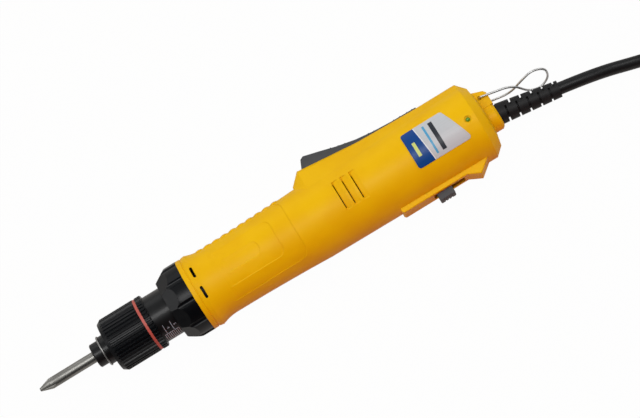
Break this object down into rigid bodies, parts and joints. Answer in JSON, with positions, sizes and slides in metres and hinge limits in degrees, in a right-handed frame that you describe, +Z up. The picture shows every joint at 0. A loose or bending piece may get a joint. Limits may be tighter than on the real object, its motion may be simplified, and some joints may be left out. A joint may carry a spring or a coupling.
{
  "type": "electric torque screwdriver",
  "caption": "Corded inline electric screwdriver with a trigger lever, a direction slide, an adjustable torque ring, a hanging bail and a coiled cord.",
  "frame": {"origin": "on the spindle axis at the mouth of the bit socket", "axes": "+X along the spindle from the bit to the cord, +Y toward the trigger lever, +Z up, the label side, as the tool lies on a table"},
  "size_m": [0.4737, 0.0901, 0.0425],
  "materials": {
    "yellow_plastic": "satin",
    "grey_plastic": "satin",
    "black_plastic": "satin",
    "black_rubber": "matt",
    "red_paint": "satin",
    "tool_steel": "satin",
    "bright_steel": "polished",
    "gear_steel": "ground",
    "spring_steel": "drawn",
    "motor_steel": "laminated",
    "copper_wire": "enamelled",
    "cast_alloy": "cast",
    "magnet_grey": "plated",
    "board_green": "satin",
    "component_black": "satin",
    "label_film": "printed",
    "lamp_green": "clear",
    "lead_colours": "satin",
    "tie_black": "satin",
    "contact_metal": "plated"
  },
  "bodies": {
    "housing": {"spindle_bearing_outer": "bright_steel", "clutch_spring": "spring_steel", "nose_tube": "black_plastic", "thrust_washer": "gear_steel", "ring_gear": "gear_steel", "motor_front_bell": "cast_alloy", "motor_rear_bell": "cast_alloy", "motor_stator": "motor_steel", "motor_windings": "copper_wire", "motor_bearing_outers": "bright_steel", "sensor_board": "board_green", "lock_nut": "black_plastic", "upper_shell": "yellow_plastic", "lower_shell": "yellow_plastic", "shell_screws": "tool_steel", "lever_pin": "gear_steel", "lever_spring": "spring_steel", "lever_switch": "component_black", "direction_switch": "component_black", "control_board": "board_green", "board_parts": "component_black", "status_lamp": "lamp_green", "rating_label": "label_film", "strain_relief": "black_rubber", "cord_leads": "lead_colours", "cord": "black_rubber", "cord_coil": "black_rubber", "coil_ties": "tie_black", "plug_grip": "black_rubber", "plug_nose": "bright_steel", "plug_contacts": "contact_metal"},
    "lever": {"trigger_lever": "grey_plastic"},
    "plunger": {"switch_plunger": "red_paint"},
    "knob": {"direction_knob": "grey_plastic"},
    "pusher": {"torque_pusher": "gear_steel", "spring_seat": "gear_steel"},
    "torque_ring": {"torque_ring": "black_plastic", "index_band": "red_paint"},
    "spindle": {"spindle": "gear_steel", "snap_ring": "spring_steel", "lock_spring": "spring_steel", "spindle_bearing_inner": "bright_steel", "clutch_cam": "gear_steel", "clutch_balls": "bright_steel", "carrier_2": "gear_steel", "collar_spring": "spring_steel"},
    "collar": {"bit_collar": "tool_steel", "collar_ring": "bright_steel"},
    "bit": {"screwdriver_bit": "tool_steel"},
    "carrier_1": {"carrier_1": "gear_steel"},
    "rotor": {"motor_shaft": "gear_steel", "motor_magnet": "magnet_grey", "motor_bearing_inners": "bright_steel"},
    "bail": {"bail": "bright_steel"},
    "planet_1a": {"planet_1a": "gear_steel"},
    "planet_1b": {"planet_1b": "gear_steel"},
    "planet_1c": {"planet_1c": "gear_steel"},
    "planet_2a": {"planet_2a": "gear_steel"},
    "planet_2b": {"planet_2b": "gear_steel"},
    "planet_2c": {"planet_2c": "gear_steel"}
  },
  "joints": [
    {"name": "lever_press", "type": "hinge", "parent": "housing", "child": "lever", "pos_m": [0.205, 0.0176, 0], "axis": [0, 0, 1], "range_deg": [0, 4], "stiffness_Nm_per_rad": 2, "springref_deg": -5.73, "deforming": ["lever_spring"]},
    {"name": "plunger_slide", "type": "slide", "parent": "housing", "child": "plunger", "axis": [0, -1, 0], "range_m": [0, 0.0014]},
    {"name": "knob_slide", "type": "slide", "parent": "housing", "child": "knob", "axis": [1, 0, 0], "range_m": [0, 0.0075]},
    {"name": "pusher_slide", "type": "slide", "parent": "housing", "child": "pusher", "axis": [1, 0, 0], "range_m": [0, 0.008]},
    {"name": "torque_turn", "type": "hinge", "parent": "pusher", "child": "torque_ring", "pos_m": [0.02, 0, 0], "axis": [1, 0, 0], "range_deg": [0, 1440], "deforming": ["clutch_spring"]},
    {"name": "spindle_spin", "type": "hinge", "parent": "housing", "child": "spindle", "pos_m": [0.02, 0, 0], "axis": [1, 0, 0], "continuous": true},
    {"name": "collar_slide", "type": "slide", "parent": "spindle", "child": "collar", "axis": [1, 0, 0], "range_m": [0, 0.003], "stiffness_N_per_m": 800, "springref_m": -0.004, "deforming": ["collar_spring"]},
    {"name": "bit_release", "type": "slide", "parent": "spindle", "child": "bit", "axis": [-1, 0, 0], "range_m": [0, 0.02], "deforming": ["lock_spring"]},
    {"name": "carrier_1_spin", "type": "hinge", "parent": "housing", "child": "carrier_1", "pos_m": [0.066, 0, 0], "axis": [1, 0, 0], "continuous": true},
    {"name": "rotor_spin", "type": "hinge", "parent": "housing", "child": "rotor", "pos_m": [0.096, 0, 0], "axis": [1, 0, 0], "continuous": true},
    {"name": "bail_swing", "type": "hinge", "parent": "housing", "child": "bail", "pos_m": [0.241, 0.0089, 0], "axis": [0, 0, 1], "range_deg": [0, 95]},
    {"name": "planet_1a_spin", "type": "hinge", "parent": "carrier_1", "child": "planet_1a", "pos_m": [0.071, 0.0081, 0], "axis": [1, 0, 0], "continuous": true},
    {"name": "planet_1b_spin", "type": "hinge", "parent": "carrier_1", "child": "planet_1b", "pos_m": [0.071, -0.00405, 0.00701], "axis": [1, 0, 0], "continuous": true},
    {"name": "planet_1c_spin", "type": "hinge", "parent": "carrier_1", "child": "planet_1c", "pos_m": [0.071, -0.00405, -0.00701], "axis": [1, 0, 0], "continuous": true},
    {"name": "planet_2a_spin", "type": "hinge", "parent": "spindle", "child": "planet_2a", "pos_m": [0.0614, 0.0081, 0], "axis": [1, 0, 0], "continuous": true},
    {"name": "planet_2b_spin", "type": "hinge", "parent": "spindle", "child": "planet_2b", "pos_m": [0.0614, -0.00405, 0.00701], "axis": [1, 0, 0], "continuous": true},
    {"name": "planet_2c_spin", "type": "hinge", "parent": "spindle", "child": "planet_2c", "pos_m": [0.0614, -0.00405, -0.00701], "axis": [1, 0, 0], "continuous": true}
  ],
  "couplings": [
    {"joint": "plunger_slide", "follows": "lever_press", "m_per_rad": 0.0185},
    {"joint": "pusher_slide", "follows": "torque_turn", "m_per_rad": 0.00031831},
    {"joint": "carrier_1_spin", "follows": "spindle_spin", "ratio": 4.5},
    {"joint": "rotor_spin", "follows": "spindle_spin", "ratio": 20.25},
    {"joint": "planet_1a_spin", "follows": "spindle_spin", "ratio": -12.6},
    {"joint": "planet_1b_spin", "follows": "spindle_spin", "ratio": -12.6},
    {"joint": "planet_1c_spin", "follows": "spindle_spin", "ratio": -12.6},
    {"joint": "planet_2a_spin", "follows": "spindle_spin", "ratio": -2.8},
    {"joint": "planet_2b_spin", "follows": "spindle_spin", "ratio": -2.8},
    {"joint": "planet_2c_spin", "follows": "spindle_spin", "ratio": -2.8}
  ]
}
